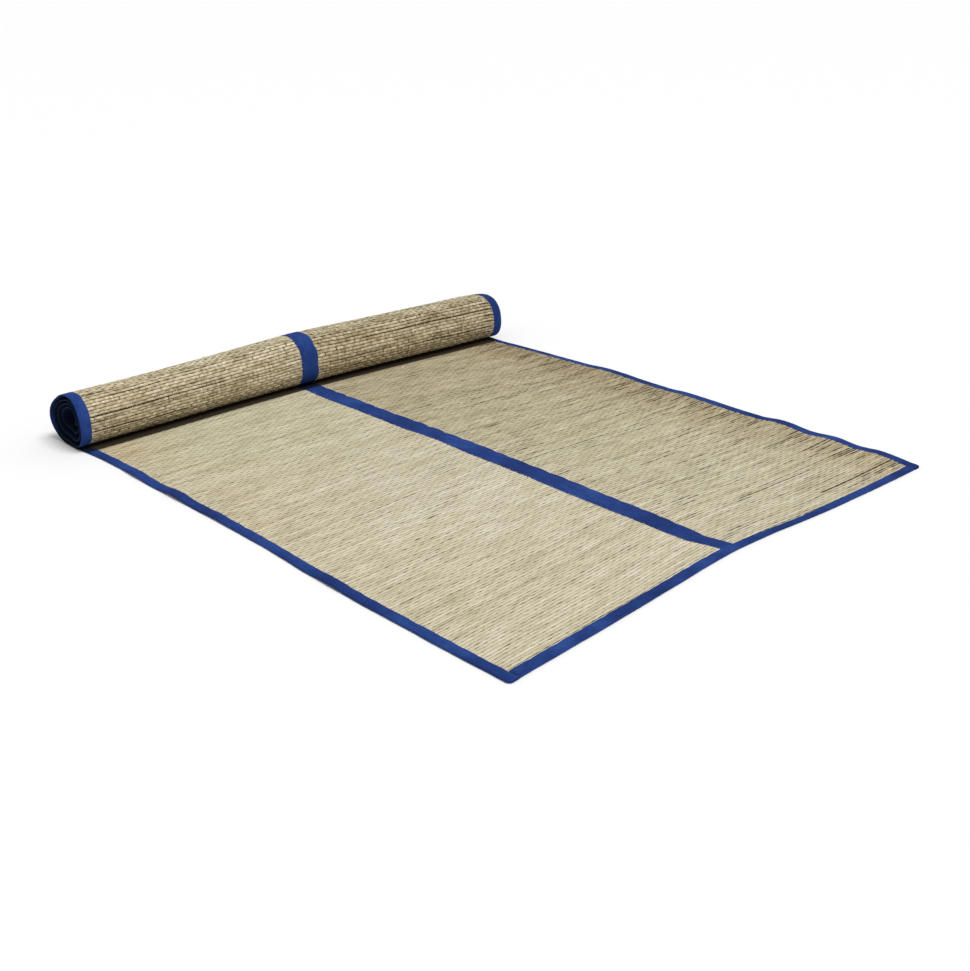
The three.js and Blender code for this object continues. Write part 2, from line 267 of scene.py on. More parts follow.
# ---- meshes -------------------------------------------------------------
def make(name, points, faces, uv, tone, material, nodes=(), smooth=True):
    """A mesh from points (n, 3) and a list of face arrays (m, 3) or (m, 4)."""
    mesh = bpy.data.meshes.new(name)
    loops = np.concatenate([f.ravel() for f in faces])
    sizes = np.concatenate([np.full(len(f), f.shape[1]) for f in faces])
    starts = np.concatenate([[0], np.cumsum(sizes)[:-1]])
    mesh.vertices.add(len(points))
    mesh.vertices.foreach_set("co", points.astype(np.float32).ravel())
    mesh.loops.add(len(loops))
    mesh.loops.foreach_set("vertex_index", loops.astype(np.int32))
    mesh.polygons.add(len(sizes))
    mesh.polygons.foreach_set("loop_start", starts.astype(np.int32))
    mesh.update(calc_edges=True)
    layer = mesh.uv_layers.new(name="UVMap")
    layer.data.foreach_set("uv", (uv[loops] / 1000).astype(np.float32).ravel())
    colour = mesh.attributes.new("tone", "FLOAT_COLOR", "POINT")
    colour.data.foreach_set("color", tone.astype(np.float32).ravel())
    mesh.polygons.foreach_set("use_smooth", np.full(len(sizes), smooth))
    mesh.materials.append(material)
    mesh.validate()
    piece = bpy.data.objects.new(name, mesh)
    bpy.context.scene.collection.objects.link(piece)
    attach(piece, "root")
    if nodes:
        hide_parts(*nodes)
    return piece


def tube_faces(rows, rings, sides, first=0):
    """Faces of `rows` closed tubes, each of `rings` rings of `sides` points."""
    r, k, i = np.meshgrid(np.arange(rows), np.arange(rings - 1), np.arange(sides), indexing="ij")
    j = (i + 1) % sides
    base = first + (r * rings + k) * sides
    quads = np.stack([base + i, base + j, base + sides + j, base + sides + i], -1).reshape(-1, 4)
    start = first + np.arange(rows)[:, None] * rings * sides
    end = start + (rings - 1) * sides
    fan = np.array([[0, n + 1, n] for n in range(1, sides - 1)])
    caps = np.concatenate([
        (start[:, None, :] + fan[None]).reshape(-1, 3),
        (end[:, None, :] + fan[None, :, ::-1]).reshape(-1, 3),
    ])
    return [quads, caps]


def facing_out(points, faces):
    """Turns all the faces over if they look inwards."""
    volume = 0.0
    for f in faces:
        for a, b, c in [(0, 1, 2), (0, 2, 3)][: f.shape[1] - 2]:
            p, q, r = points[f[:, a]], points[f[:, b]], points[f[:, c]]
            volume += float(np.einsum("ij,ij->i", p, np.cross(q, r)).sum())
    return faces if volume > 0 else [f[:, ::-1].copy() for f in faces]


def side_edge(side, s):
    return left_edge(s) if side < 0 else right_edge(s)


def clear_of_tapes(side, s, x):
    """How far a place on a panel is from the nearest tape's edge."""
    out = np.minimum(np.abs(x - tape_middle(s)) - tape_half(s), np.abs(side_edge(side, s) - x) - binding_width(side, s))
    return np.minimum(out, np.minimum(s - front_width(x), MAT_LENGTH - 14.0 - s))


# Where stems stand apart: side, s, x from, x to, how wide it opens (mm).
# Listed first on the flat stretch and then on the roll.
GAPS = [
    (1, 43, 245, 436, 2.3), (1, 40, 20, 250, 0.5), (1, 119, 382, 434, 1.7), (1, 117, 196, 385, 0.7),
    (1, 140, 340, 382, 1.3), (1, 359, 366, 436, 2.1), (1, 391, 392, 436, 1.7), (1, 324, 388, 436, 1.9),
    (1, 343, 392, 434, 1.5), (1, 215, 386, 432, 1.1), (1, 142, 14, 36, 1.2), (1, 108, 160, 315, 0.9),
    (1, 68, 240, 335, 0.7), (1, 18, 70, 220, 0.6), (1, 811, 368, 406, 2.1), (1, 726, 172, 245, 1.1),
    (1, 730, 240, 330, 0.7), (1, 888, 250, 356, 0.8), (1, 741, 400, 428, 1.8), (1, 652, 396, 430, 1.0),
    (1, 568, 78, 106, 2.0), (-1, 373, -232, -209, 2.0), (-1, 333, -289, -276, 1.6),
    (-1, 453, -425, -380, 0.6), (-1, 450, -306, -174, 0.6), (-1, 586, -374, -205, 0.5),
    (1, 1173, 176, 400, 1.4), (1, 1204, 250, 416, 1.2), (1, 1171, 110, 180, 0.9), (1, 1200, 18, 146, 0.8),
    (1, 1160, 398, 420, 1.9), (1, 1171, 400, 420, 2.0), (1, 1182, 396, 420, 2.1), (1, 1193, 396, 420, 1.9),
    (-1, 1146, -438, -394, 1.5), (-1, 1136, -438, -412, 1.0), (-1, 1184, -438, -296, 1.7), (-1, 1183, -300, -180, 0.9),
    (-1, 1207, -438, -330, 1.5), (-1, 1213, -336, -262, 1.4), (-1, 1196, -438, -405, 1.0), (-1, 1160, -420, -300, 0.8),
]


def openings(side, rng, s, x):
    """How far the stems stand apart (mm) at each of the places between them."""
    drift = rng.normal(0, 0.34, (len(s), 1)) + ripple_noise(rng, len(s), x, [(330, 0.42), (130, 0.36), (47, 0.30), (19, 0.16)])
    s = s[:, None]
    near_edge = step(np.abs(x), 300, 430) * (side > 0) * (1 - step(s, 930, 990))
    rolled = step(s, 1000, 1080)
    start = 0.38 - 0.34 * near_edge - 0.20 * (side > 0) * (1 - rolled) - 0.05 * rolled
    wide = 0.60 + 0.50 * (side > 0) * (1 - rolled) + 0.95 * near_edge + 0.35 * rolled
    out = wide * np.clip((drift - start) / 1.0, 0, 1) ** 1.3
    for where, at, low, high, size in GAPS:
        if where != side:
            continue
        k = int(np.argmin(np.abs(s[:, 0] - at)))
        rough = 0.85 + 0.15 * np.sin(x[k] / 7.3 + at)
        out[k] = np.maximum(out[k], size * rough * step(x[k], low - 5, low + 9) * (1 - step(x[k], high - 9, high + 5)))
    return out


def patch(s, x, at_s, at_x, reach_s, reach_x):
    return np.exp(-((s - at_s) / reach_s) ** 2 - ((x - at_x) / reach_x) ** 2)


def hollow_shade(s):
    """How much less light reaches the inner turns."""
    return step(s, 1238, 1292)


def roll_shade(s, x):
    """Shade under the roll, on it and on the stretch it lies on."""
    flat = step(s, 924, 931) * (1 - step(s, 1005, 1040))
    low = step(s, 1228, 1243) * (1 - step(s, 1300, 1400))
    return np.clip(0.975 * flat + 0.93 * low, 0, 1)


def straw_tone(side, s, x):
    """Lightness, partly painted light, brown, painted shade and green at places on a panel."""
    far = step(s, 120, 930)
    flat = 1 - step(s, 985, 1010)
    right = float(side > 0)
    border = right * step(x, 270, 445)
    # Painted shade: the right panel is darker than the left, and both darken towards the roll, the right one most.
    light = 0.575 - 0.025 * far * (1 - right) - right * (0.045 + 0.12 * far)
    light = light + 0.04 * patch(s, x, 330, -150, 260, 240) + 0.03 * patch(s, x, 40, 60, 120, 120)
    light = light - 0.10 * border - 0.05 * patch(s, x, 890, -410, 60, 62)
    green = 0.05 + 0.35 * patch(s, x, 850, -190, 190, 230) + 0.22 * patch(s, x, 430, 150, 300, 170)
    brown = 0.16 + 0.30 * border + 0.50 * patch(s, x, 890, -410, 60, 62) + 0.12 * right * far
    brown = brown + 0.16 * patch(s, x, 560, -400, 260, 110) + 0.12 * patch(s, x, 120, -250, 200, 260)
    green = green * (1 - step(brown, 0.25, 0.6))
    # Beside the tapes the stems are worn pale.
    worn = np.exp(-np.clip(clear_of_tapes(side, s, x), 0, None) / 2.2)
    light = light + 0.11 * worn * (0.6 + 0.4 * np.sin(s / 3.1) * np.sin(s / 11.7))
    # The roll shows the mat's other face, browner and paler in turns. Its top is painted lighter, its front is painted
    # darker towards the bottom as shade, and its right half is painted darker.
    top = 1 - step(s, 1108, 1175)
    r_light = 0.52 + 0.03 * top - 0.05 * step(s, 1185, 1232) - 0.065 * right + 0.05 * patch(s, x, 1200, -60, 40, 90)
    r_brown = 0.55 + 0.28 * patch(s, x, 1135, -380, 45, 70) - 0.22 * top + 0.16 * patch(s, x, 1205, 90, 40, 160)
    light = flat * light + (1 - flat) * r_light
    brown = flat * brown + (1 - flat) * r_brown
    green = flat * green + (1 - flat) * 0.35 * top
    return light, np.clip(brown, 0, 1), roll_shade(s, x), np.clip(green, 0, 1)


def bundle_rows(rng, low, high):
    """Where the stem bundles meet, between two places along the mat."""
    widths = []
    while sum(widths) < high - low - PICK / 2:
        widths.append(PICK * float(np.clip(rng.normal(1.0, 0.12), 0.7, 1.32)))
    return low + np.concatenate([[0], np.cumsum(widths)]) * (high - low) / sum(widths)


def panel_span(side, s):
    """Where the stems run from and to across one panel, from seam to edge."""
    seam = tape_middle(s) + side * 1.05
    return seam, side_edge(side, s) - side * 1.5


def straw(side, name, node):
    """One panel: stem bundles, the threads that hold them, and a dark sheet of painted shade."""
    rng = np.random.default_rng(11 if side < 0 else 23)
    meet = bundle_rows(rng, 2.0, MAT_LENGTH - 2.0)
    middle, half = (meet[1:] + meet[:-1]) / 2, (meet[1:] - meet[:-1]) / 2
    count = len(middle)
    parity = np.arange(count) % 2
    fine = middle < SEEN
    u = np.linspace(0, 1, 2 * WARPS + 1)[None, :]
    seam, edge = panel_span(side, meet[:, None])
    open_ = openings(side, rng, meet, seam + (edge - seam) * u)
    shade_of = rng.normal(0, 1, (count, 1))
    hue_of = rng.normal(0, 1, (count, 1))
    sink = rng.normal(0, 0.07, (count, 1))
    pieces = []
    limits = [0, *(int(np.searchsorted(middle, s)) for s in (350.0, 720.0, SEEN)), count]
    for block, (a, b) in enumerate(zip(limits[:-1], limits[1:])):
        coarse = block == 3
        pick = slice(None, None, 2 if coarse else 1)
        v = u[:, pick]
        rings = v.shape[1]
        rows = b - a
        s0, w0 = middle[a:b, None], half[a:b, None]
        below, above = open_[a:b, pick], open_[a + 1 : b + 1, pick]
        seam, edge = panel_span(side, s0)
        x = seam + (edge - seam) * v
        arc = np.abs(edge - seam) * v
        rolled = step(s0, FLAT_LENGTH + 6, FLAT_LENGTH + 40)
        # One slow wander for all rows, so that neighbours keep together.
        wander = 0.5 * np.sin(arc / 47 + s0 / 230) + 0.35 * np.sin(arc / 21 + 2 + s0 / 140)
        wander = wander + ripple_noise(rng, rows, arc, [(90, 0.08), (31, 0.06)])
        s = s0 + wander * step(np.minimum(s0, MAT_LENGTH - s0), 2, 22)
        # Under the tapes the stems are pressed thin.
        full = step(clear_of_tapes(side, s0, x), -1.0, 2.6)
        swell = 1 + ripple_noise(rng, rows, arc, [(60, 0.03), (23, 0.03), (11, 0.03)])
        wave = (WAVE + (ROLL_WAVE - WAVE) * rolled) * (1 + ripple_noise(rng, rows, arc, [(27, 0.35), (13, 0.3)]) * rolled)
        rise = wave * (0.25 + 0.75 * full) * np.cos(math.pi * (WARPS * v + parity[a:b, None]))
        height = rise + (sink[a:b] + ripple_noise(rng, rows, arc, [(130, 0.06), (48, 0.05)])) * full
        at_thread = np.cos(math.pi * WARPS * v) ** 2
        pinch = 1 - (0.05 + 0.16 * rolled) * at_thread
        thick = (0.45 + (BUNDLE - 0.45) * full) * pinch
        # Section of a bundle: along the mat, up, on the face that is seen.
        if coarse:
            ring = np.array([(-1.0, 0.0), (0.0, 1.0), (1.0, 0.0), (0.0, -1.0)])
        else:
            ring = np.array([(-1.0, 0.0), (-0.56, 1.0), (0.56, 1.0), (1.0, 0.0), (0.0, -1.0)])
        turn = np.where(middle[a:b] > FLAT_LENGTH, -1.0, 1.0)[:, None, None]
        across, up = ring[None, None, :, 0], ring[None, None, :, 1]
        if not coarse:
            # On the flat stretch neighbours meet high, on the roll low.
            up = np.where(np.abs(across) == 1.0, 0.68 * (1 - rolled[:, :, None]) + 0.12 * rolled[:, :, None], up)
            across, up = across * turn, up * turn
        sides = len(ring)
        width = w0 * swell * (1.03 - 0.03 * rolled)
        apart = np.where(across > 0, above[:, :, None], below[:, :, None])
        S = s[:, :, None] + across * (width[:, :, None] - 0.56 * apart)
        H = height[:, :, None] + up * thick[:, :, None]
        X = np.broadcast_to(x[:, :, None], S.shape)
        H = np.broadcast_to(H, S.shape)
        points = place(S, X, H).reshape(-1, 3)
        uv = np.stack([X, S + 4000.0 * (side > 0)], -1).reshape(-1, 2)
        light, brown, shade, green = straw_tone(side, S, X)
        mottle = ripple_noise(rng, rows, arc, [(170, 0.040), (61, 0.035), (24, 0.022), (9, 0.016)])
        bead = (ripple_noise(rng, rows, arc, [(17, 0.09), (9.3, 0.08)]) - 0.06 * at_thread) * rolled
        light = light + (0.030 * shade_of[a:b] * (1 + 0.8 * rolled) + mottle * (1 + 0.8 * rolled) + bead)[:, :, None]
        brown = brown + (0.10 * np.clip(hue_of[a:b] - 0.8, 0, 2))[:, :, None]
        green = green + (0.12 * np.clip(-hue_of[a:b] - 0.8, 0, 2))[:, :, None]
        # Painted shade: the sides of each bundle are darkened, more on the roll and most where stems stand apart, as
        # shade falls between them.
        crease_shade = np.abs(across) * (0.05 + 0.14 * rolled[:, :, None] + 0.80 * np.clip(apart / 1.4, 0, 1)) * full[:, :, None]
        crease_shade = np.where(np.abs(across) < 0.9, 0.3 * crease_shade * np.clip(apart, 0, 1), crease_shade)
        shade = 1 - (1 - shade) * (1 - np.clip(crease_shade, 0, 0.95)) * (1 - 0.8 * hollow_shade(S))
        tone = np.stack(np.broadcast_arrays(light, brown, shade, green), -1)
        faces = facing_out(points, tube_faces(rows, rings, sides))
        piece = make(f"{name}_{block + 1}", points, faces, uv, tone.reshape(-1, 4), straw_look, [node])
        pieces.append(piece)

    # The warp threads, over one bundle and under the next.
    s = middle[fine]
    j = np.arange(1, WARPS)[:, None]
    seam, edge = panel_span(side, s)
    x = seam[None, :] + (edge - seam)[None, :] * (j / WARPS)
    full = step(clear_of_tapes(side, s[None, :], x), -1.0, 2.6)
    rolled = step(s, FLAT_LENGTH + 6, FLAT_LENGTH + 40)[None, :]
    turn = np.cos(math.pi * (j + parity[fine][None, :]))
    radius = THREAD * (0.75 + 0.65 * rolled) * rng.uniform(0.7, 1.25, (WARPS - 1, 1))
    wave = WAVE + (ROLL_WAVE - WAVE) * rolled
    h = -turn * (BUNDLE * 0.92 + radius * 0.25 - wave) * (0.35 + 0.65 * full) + sink[fine].T * full
    x = x + ripple_noise(rng, WARPS - 1, s[None, :], [(120, 0.5), (31, 0.3)])
    corner = np.radians([90, 210, 330])
    X = x[:, :, None] + radius[:, :, None] * np.cos(corner)
    H = h[:, :, None] + radius[:, :, None] * np.sin(corner)
    S = np.broadcast_to(s[None, :, None], X.shape)
    points = place(S, X, H).reshape(-1, 3)
    uv = np.stack([X, S], -1).reshape(-1, 2)
    light, brown, shade, green = straw_tone(side, S, X)
    shade = 1 - (1 - shade) * (1 - 0.8 * hollow_shade(S))
    light = light + rng.normal(0, 0.03, (WARPS - 1, 1, 1)) + rolled[:, :, None] * (0.09 + rng.normal(0, 0.07, (WARPS - 1, 1, 1)))
    tone = np.stack(np.broadcast_arrays(light, brown, shade, green), -1)
    faces = facing_out(points, tube_faces(WARPS - 1, len(s), 3))
    threads = make(f"{name}_threads", points, faces, uv, tone.reshape(-1, 4), thread_look, [node])
    pieces.append(threads)
    pieces.append(stem_ends(side, rng, f"{name}_ends", node))

    # Painted shade: a thin dark sheet in the middle, seen only between stems, stands in for the shade there.
    s = np.concatenate([np.linspace(3, FLAT_LENGTH, 50), np.linspace(FLAT_LENGTH, MAT_LENGTH - 3, 150)[1:]])
    u = np.linspace(0, 1, 26)
    seam, edge = panel_span(side, s)
    x = seam[:, None] + (edge - seam)[:, None] * u[None, :]
    x = np.concatenate([x, x[:, ::-1]], 1)
    h = np.concatenate([np.full(26, 0.22), np.full(26, -0.22)])[None, :] * np.ones_like(x)
    points = place(s[:, None], x, h).reshape(-1, 3)
    uv = np.stack([x, np.broadcast_to(s[:, None], x.shape)], -1).reshape(-1, 2)
    n = 52
    r, i = np.meshgrid(np.arange(len(s) - 1), np.arange(n), indexing="ij")
    k = (i + 1) % n
    quads = np.stack([r * n + i, r * n + k, (r + 1) * n + k, (r + 1) * n + i], -1).reshape(-1, 4)
    rung = np.arange(25)
    end = (len(s) - 1) * n
    caps = np.stack([rung, n - 1 - rung, n - 2 - rung, rung + 1], -1)
    caps = np.concatenate([caps, (end + caps)[:, ::-1]])
    faces = facing_out(points, [quads, caps])
    shade_sheet = make(f"{name}_backing", points, faces, uv, np.zeros((len(points), 4)), shade_sheet_look, [node])
    return pieces


def stem_ends(side, rng, name, node):
    """Short pale ends of stems and threads that stick out beside the tapes."""
    parts = []
    for where, count in (("seam", 520), ("edge", 430)):
        s = rng.uniform(30, 1262, count)
        tape = tape_middle(s) + side * (tape_half(s) - 0.6)
        border = side_edge(side, s) - side * (binding_width(side, s) - 0.6)
        x0, way = (tape, side) if where == "seam" else (border, -side)
        long = rng.gamma(2.2, 1.0, count) + 0.8
        slant = rng.normal(0, 0.45, count)
        face = np.where(s > FLAT_LENGTH, -1.0, 1.0)
        t = np.array([0.0, 1.0])[None, :]
        X = x0[:, None] + way * (long * np.cos(slant))[:, None] * t
        S = s[:, None] + (long * np.sin(slant))[:, None] * t
        H = 0.95 + rng.uniform(0.1, 0.45, count)[:, None] * (0.4 + t)
        r = rng.uniform(0.14, 0.30, count)[:, None]
        ring = [(0.0, 1.0), (-0.9, -0.5), (0.9, -0.5)]
        points = np.stack([place(S + a * r, X, face[:, None] * (H + b * r)) for a, b in ring], 2)
        parts.append((points, np.broadcast_to(S[:, :, None], S.shape + (3,)), np.broadcast_to(X[:, :, None], S.shape + (3,))))
    points = np.concatenate([p[0].reshape(-1, 3) for p in parts])
    S = np.concatenate([p[1].ravel() for p in parts])
    X = np.concatenate([p[2].ravel() for p in parts])
    count = len(points) // 6
    faces = outward_each(points, tube_faces(count, 2, 3), count, 6)
    tone = np.zeros((len(points), 4))
    tone[:, 0] = np.repeat(rng.uniform(0.55, 1.0, count), 6)
    tone[:, 1] = np.repeat(rng.uniform(0.0, 1.0, count), 6)
    tone[:, 2] = roll_shade(S, X)
    return make(name, points, faces, np.stack([X, S], -1), tone, end_look, [node])


# ---- the tapes ----------------------------------------------------------
def outward_each(points, faces, count, size):
    """Turns over the faces of every small body that looks inwards."""
    centre = points.reshape(count, size, 3).mean(1)
    volume = np.zeros(count)
    for f in faces:
        owner = f[:, 0] // size
        for a, b, c in [(0, 1, 2), (0, 2, 3)][: f.shape[1] - 2]:
            p, q, r = (points[f[:, k]] - centre[owner] for k in (a, b, c))
            np.add.at(volume, owner, np.einsum("ij,ij->i", p, np.cross(q, r)))
    out = []
    for f in faces:
        g = f.copy()
        bad = volume[f[:, 0] // size] < 0
        g[bad] = g[bad][:, ::-1]
        out.append(g)
    return out


def tape_rows(fine_to=SEEN, fine=3.2, coarse=5.0, low=0.0, high=MAT_LENGTH):
    a = np.arange(low, fine_to, fine)
    b = np.linspace(fine_to, high, int((high - fine_to) / coarse) + 1)
    return np.concatenate([a, b])


def scallops(rng, at, shortest, longest, depth):
    """Bulges between the places where a tape's edge is pulled in."""
    ends = at.min() - 5 + np.concatenate([[0], np.cumsum(rng.uniform(shortest, longest, int((at.max() - at.min()) / shortest) + 3))])
    k = np.clip(np.searchsorted(ends, at, side="right") - 1, 0, len(ends) - 2)
    t = (at - ends[k]) / (ends[k + 1] - ends[k])
    size = depth * rng.uniform(0.5, 1.25, len(ends))
    return size[k] * (4 * t * (1 - t) - 0.6)


STITCH, GAUGE = 3.1, 4.4


def stitches(rng, name, node, rows):
    """Short thread bars along seams: each row gives where it starts and ends
    and a function from places along it to s, x, h and which way is up."""
    all_points, all_uv, all_shade = [], [], []
    for low, high, path, along_s in rows:
        at = np.arange(low + 3, high - 3, GAUGE)
        at = at + rng.uniform(-0.2, 0.2, len(at))
        t = at[:, None] + np.array([-0.5, 0.0, 0.5])[None, :] * STITCH
        S, X, H, face = path(t)
        dip = np.array([-0.34, 0.08, -0.34])[None, :]
        corners = []
        for across, up in ((0.0, 0.26), (-0.27, -0.14), (0.27, -0.14)):
            corners.append(place(S + (0 if along_s else across), X + (across if along_s else 0), face * (H + dip + up)))
        all_points.append(np.stack(corners, 2).reshape(-1, 3))
        all_uv.append(np.stack(np.broadcast_arrays(X, S), -1).repeat(3, 1).reshape(-1, 2))
        all_shade.append(tape_shade(S, X, face * np.ones(S.shape)).repeat(3, 1).ravel())
    points = np.concatenate(all_points)
    count = len(points) // 9
    faces = outward_each(points, tube_faces(count, 3, 3), count, 9)
    tone = np.zeros((len(points), 4))
    tone[:, 0] = np.repeat(rng.uniform(0.3, 0.7, count), 9)
    tone[:, 2] = np.concatenate(all_shade)
    return make(name, points, faces, np.concatenate(all_uv), tone, stitch_look, [node])


# Section of a folded tape 20 wide: distance in from the fold, and height, on
# its upper side. The lower side mirrors it.
FOLD_SECTION = [
    (20.0, 0.86), (20.15, 1.12), (19.7, 1.40), (18.6, 1.50), (17.3, 1.33),
    (15.8, 1.50), (11.5, 1.46), (7.0, 1.52), (3.4, 1.50), (1.3, 1.30), (0.3, 0.85), (0.0, 0.3),
]
FOLD_CAVITY = [(19.8, -0.74), (10.0, -0.66), (1.6, -0.60), (1.6, 0.60), (10.0, 0.66), (19.8, 0.74)]
SEAM = 17.3 / 20


def folded_section():
    upper = FOLD_SECTION
    lower = [(d, -h) for d, h in reversed(FOLD_SECTION)]
    return np.array(upper + lower + FOLD_CAVITY)


def tape_shade(s, x, h):
    """Shade on the tapes; h tells the upper face from the lower one."""
    rolled = step(s, 1000, 1090)
    inside = step(h, -0.9, 0.4)
    rim = rolled * inside * 0.62
    return 1 - (1 - roll_shade(s, x)) * (1 - rim) * (1 - 0.80 * hollow_shade(s))


def edge_binding(side, name):
    rng = np.random.default_rng(31 if side < 0 else 37)
    s = tape_rows()
    section = folded_section()
    n = len(section)
    wide = binding_width(side, s)[:, None]
    part, h = section[:, 0][None, :] / 20, section[:, 1][None, :]
    d = part * wide
    edge = side_edge(side, s)[:, None]
    # The tape is drawn up a little unevenly by its stitches.
    wave = ripple_noise(rng, 1, s[None, :], [(170, 0.4), (61, 0.3), (23, 0.14)])[0][:, None]
    inner = scallops(rng, s, 22, 52, 1.1)[:, None] + ripple_noise(rng, 1, s[None, :], [(27, 0.2), (12, 0.12)])[0][:, None]
    pucker = ripple_noise(rng, 1, s[None, :], [(41, 0.10), (17, 0.09), (9.5, 0.06)])[0][:, None]
    middle = np.clip(1 - np.abs(part - 0.45) / 0.45, 0, 1)
    # Corners are rounded.
    ends = np.minimum(s, MAT_LENGTH - s)[:, None]
    corner = 0.16 * np.clip(5 - ends, 0, 5) ** 2 * (1 - part)
    d2 = d + wave * (1 - part) * 0.6 + inner * part + corner
    rise = np.sign(h) * (pucker * (0.5 + middle)) * (np.abs(h) > 0.8)
    X = edge - side * d2
    S = np.broadcast_to(s[:, None], X.shape)
    points = place(S, X, h + rise).reshape(-1, 3)
    uv = np.stack([X + (h > 0) * 60.0, S], -1).reshape(-1, 2)
    faces = swept_faces(points, len(s), n, section)
    tone = np.zeros(X.shape + (4,))
    tone[..., 0] = (0.5 + ripple_noise(rng, 1, s[None, :], [(300, 0.25), (80, 0.15)])[0])[:, None] + 0.25 * (part - 0.5)
    tone[..., 2] = tape_shade(S, X, np.broadcast_to(h, X.shape))
    node = name.replace("_cloth", "")
    piece = make(name, points, faces, uv, tone.reshape(-1, 4), tape_look, [node])
    path = lambda t, face: (t, side_edge(side, t) - side * SEAM * binding_width(side, t), 1.42, face)
    stitches(rng, f"{node}_stitches", node, [
        (18, MAT_LENGTH - 18, lambda t: path(t, 1.0), True), (18, MAT_LENGTH - 18, lambda t: path(t, -1.0), True),
    ])
    return piece


def triangulate(section):
    """Triangles of a simple polygon, by clipping its ears."""
    pts = [tuple(p) for p in section]
    idx = list(range(len(pts)))
    area = sum(pts[i][0] * pts[(i + 1) % len(pts)][1] - pts[(i + 1) % len(pts)][0] * pts[i][1] for i in idx)
    if area < 0:
        idx.reverse()
    out = []

    def cross(o, a, b):
        return (a[0] - o[0]) * (b[1] - o[1]) - (a[1] - o[1]) * (b[0] - o[0])

    guard = 0
    while len(idx) > 3 and guard < 5000:
        guard += 1
        for k in range(len(idx)):
            i, j, l = idx[k - 1], idx[k], idx[(k + 1) % len(idx)]
            if cross(pts[i], pts[j], pts[l]) <= 1e-9:
                continue
            inside = False
            for m in idx:
                if m in (i, j, l):
                    continue
                p = pts[m]
                if cross(pts[i], pts[j], p) >= 0 and cross(pts[j], pts[l], p) >= 0 and cross(pts[l], pts[i], p) >= 0:
                    inside = True
                    break
            if not inside:
                out.append((i, j, l))
                idx.pop(k)
                break
        else:
            break
    out.append(tuple(idx[:3]))
    return np.array(out), area


def swept_faces(points, rows, n, section):
    r, i = np.meshgrid(np.arange(rows - 1), np.arange(n), indexing="ij")
    j = (i + 1) % n
    quads = np.stack([r * n + i, r * n + j, (r + 1) * n + j, (r + 1) * n + i], -1).reshape(-1, 4)
    tri, area = triangulate(section)
    # triangulate() gives them anticlockwise in the section's own plane
    start, end = (tri, tri[:, ::-1]) if area < 0 else (tri[:, ::-1], tri)
    caps = np.concatenate([start, end + (rows - 1) * n])
    return facing_out(points, [quads, caps])


def end_binding(from_s, into, name):
    """Across the mat, between the two edge bindings."""
    rng = np.random.default_rng(41 if into > 0 else 43)
    section = folded_section()
    n = len(section)
    count = 230
    u = np.linspace(0, 1, count)
    part, h = section[:, 0][None, :] / 20, section[:, 1][None, :]

    def width(x):
        return front_width(x) if into > 0 else np.full(np.shape(x), 14.0)

    ends = left_edge(from_s) + binding_width(-1, from_s) + 0.5, right_edge(from_s) - binding_width(1, from_s) - 0.5
    at = ends[0] + (ends[1] - ends[0]) * u
    d = part * width(at)[:, None]
    S = from_s + into * d
    x0 = left_edge(S) + binding_width(-1, S) + 0.9
    x1 = right_edge(S) - binding_width(1, S) - 0.9
    X = x0 + (x1 - x0) * u[:, None]
    wave = ripple_noise(rng, 1, at[None, :], [(190, 0.4), (70, 0.3), (22, 0.12)])[0][:, None]
    inner = scallops(rng, at, 24, 60, 0.8)[:, None] + ripple_noise(rng, 1, at[None, :], [(26, 0.2), (12, 0.1)])[0][:, None]
    pucker = ripple_noise(rng, 1, at[None, :], [(43, 0.10), (18, 0.08), (10, 0.05)])[0][:, None]
    middle = np.clip(1 - np.abs(part - 0.45) / 0.45, 0, 1)
    S = S + into * (wave * (1 - part) * 0.6 + inner * part)
    S = np.clip(S, 0.0, MAT_LENGTH)
    rise = np.sign(h) * pucker * (0.5 + middle) * (np.abs(h) > 0.8)
    points = place(S, X, h + rise).reshape(-1, 3)
    uv = np.stack([S + (h > 0) * 60.0, X], -1).reshape(-1, 2)
    faces = swept_faces(points, count, n, section)
    tone = np.zeros(X.shape + (4,))
    tone[..., 0] = (0.5 + ripple_noise(rng, 1, at[None, :], [(300, 0.25), (80, 0.15)])[0])[:, None] + 0.25 * (part - 0.5)
    tone[..., 2] = tape_shade(S, X, np.broadcast_to(h, X.shape))
    node = name.replace("_cloth", "")
    piece = make(name, points, faces, uv, tone.reshape(-1, 4), tape_look, [node])
    path = lambda t, face: (from_s + into * SEAM * width(t), t, 1.42, face)
    stitches(rng, f"{node}_stitches", node, [
        (*ends, lambda t: path(t, 1.0), False), (*ends, lambda t: path(t, -1.0), False),
    ])
    return piece


STRIP_SECTION = [
    (-1.0, 0.0, 0.80), (-1.0, 0.1, 1.12), (-1.0, 0.6, 1.42), (-1.0, 1.6, 1.50), (-1.0, 2.8, 1.34),
    (-1.0, 4.2, 1.50), (-0.45, 0.0, 1.46), (0.0, 0.0, 1.52), (0.45, 0.0, 1.46), (1.0, 4.2, 1.50),
    (1.0, 2.8, 1.34), (1.0, 1.6, 1.50), (1.0, 0.6, 1.42), (1.0, 0.1, 1.12), (1.0, 0.0, 0.80),
    (0.5, 0.0, 0.74), (0.0, 0.0, 0.74), (-0.5, 0.0, 0.74),
]


